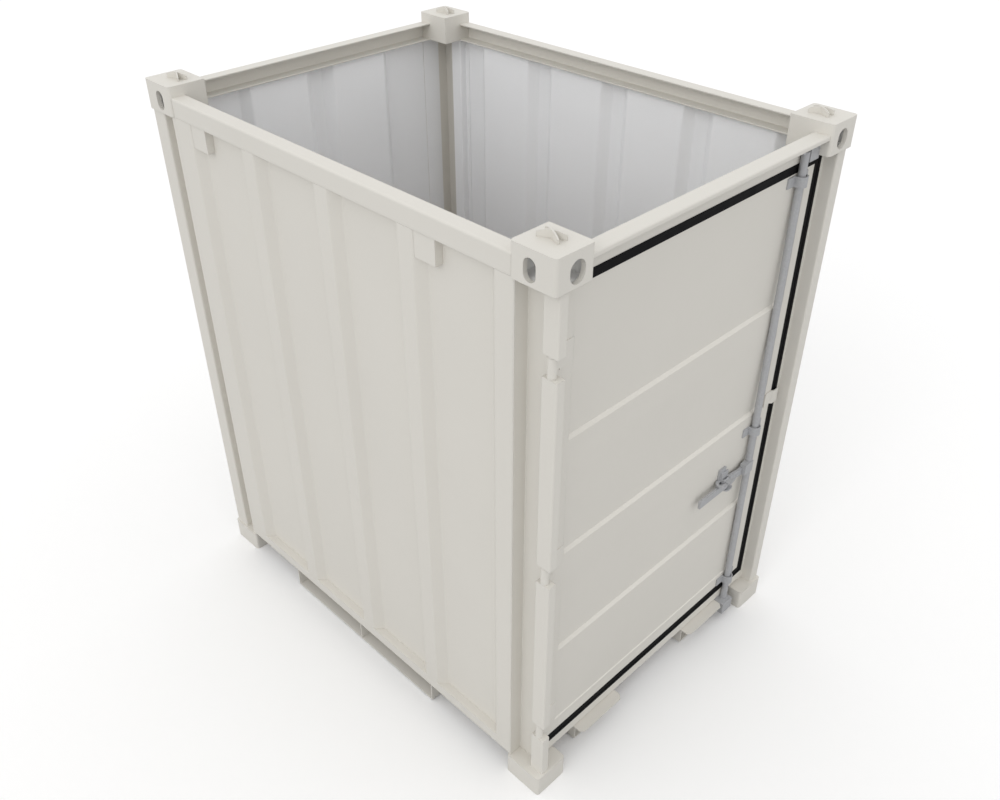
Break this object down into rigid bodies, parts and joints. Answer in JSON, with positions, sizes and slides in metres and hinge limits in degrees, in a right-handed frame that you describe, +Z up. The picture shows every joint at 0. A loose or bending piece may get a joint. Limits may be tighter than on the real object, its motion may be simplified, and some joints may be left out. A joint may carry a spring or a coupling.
{
  "type": "small shipping container",
  "caption": "Small open-topped steel storage container with corrugated walls, a hinged single door with lock bar, corner castings with stacking crosses, and fork pockets",
  "frame": {"origin": "on the ground under the middle of the container", "axes": "+Z up, the door in the -Y end, +X to the right seen from the door end"},
  "size_m": [1.6, 2.2, 2.456],
  "materials": {
    "beige_paint": "satin grey-white paint",
    "wall_paint": "satin grey-white paint outside, light grey inside",
    "zinc_steel": "dull galvanised steel",
    "seal_rubber": "matt black door seal",
    "floor_wood": "plywood floor boards"
  },
  "bodies": {
    "container": {"casting_front_left": "beige_paint", "casting_front_right": "beige_paint", "casting_rear_left": "beige_paint", "casting_rear_right": "beige_paint", "stacking_crosses": "beige_paint", "foot_front_left": "beige_paint", "foot_front_right": "beige_paint", "foot_rear_left": "beige_paint", "foot_rear_right": "beige_paint", "hinge_post": "beige_paint", "hinge_tubes": "beige_paint", "hinge_pins": "beige_paint", "lock_post": "beige_paint", "rear_left_post": "beige_paint", "rear_right_post": "beige_paint", "left_top_rail": "beige_paint", "right_top_rail": "beige_paint", "rear_top_rail": "beige_paint", "door_header": "beige_paint", "left_bottom_rail": "beige_paint", "right_bottom_rail": "beige_paint", "rear_bottom_rail": "beige_paint", "door_sill": "beige_paint", "side_fork_pockets": "beige_paint", "front_fork_pockets": "beige_paint", "fork_lips": "beige_paint", "floor_beams": "beige_paint", "left_vents": "beige_paint", "right_vents": "beige_paint", "left_wall": "wall_paint", "right_wall": "wall_paint", "rear_wall": "wall_paint", "top_keeper": "zinc_steel", "bottom_keeper": "zinc_steel", "floor_boards": "floor_wood"},
    "door": {"door_panel": "beige_paint", "door_rim": "beige_paint", "door_gasket": "seal_rubber", "hinge_straps": "beige_paint", "bar_guides": "zinc_steel", "handle_catch": "zinc_steel", "door_stop": "beige_paint"},
    "lock_bar": {"lock_bar": "zinc_steel", "handle_hub": "zinc_steel", "lock_handle": "zinc_steel"},
    "catch_latch": {"catch_latch": "zinc_steel"}
  },
  "joints": [
    {"name": "door_hinge", "type": "hinge", "parent": "container", "child": "door", "pos_m": [-0.755, -1.057, 1.2], "axis": [0, 0, -1], "range_deg": [0, 180]},
    {"name": "lock_bar_turn", "type": "hinge", "parent": "door", "child": "lock_bar", "pos_m": [0.559, -1.049, 1.2], "axis": [0, 0, 1], "range_deg": [0, 90]},
    {"name": "latch_flip", "type": "hinge", "parent": "door", "child": "catch_latch", "pos_m": [0.3825, -1.054, 0.949], "axis": [-1, 0, 0], "range_deg": [0, 90]}
  ]
}
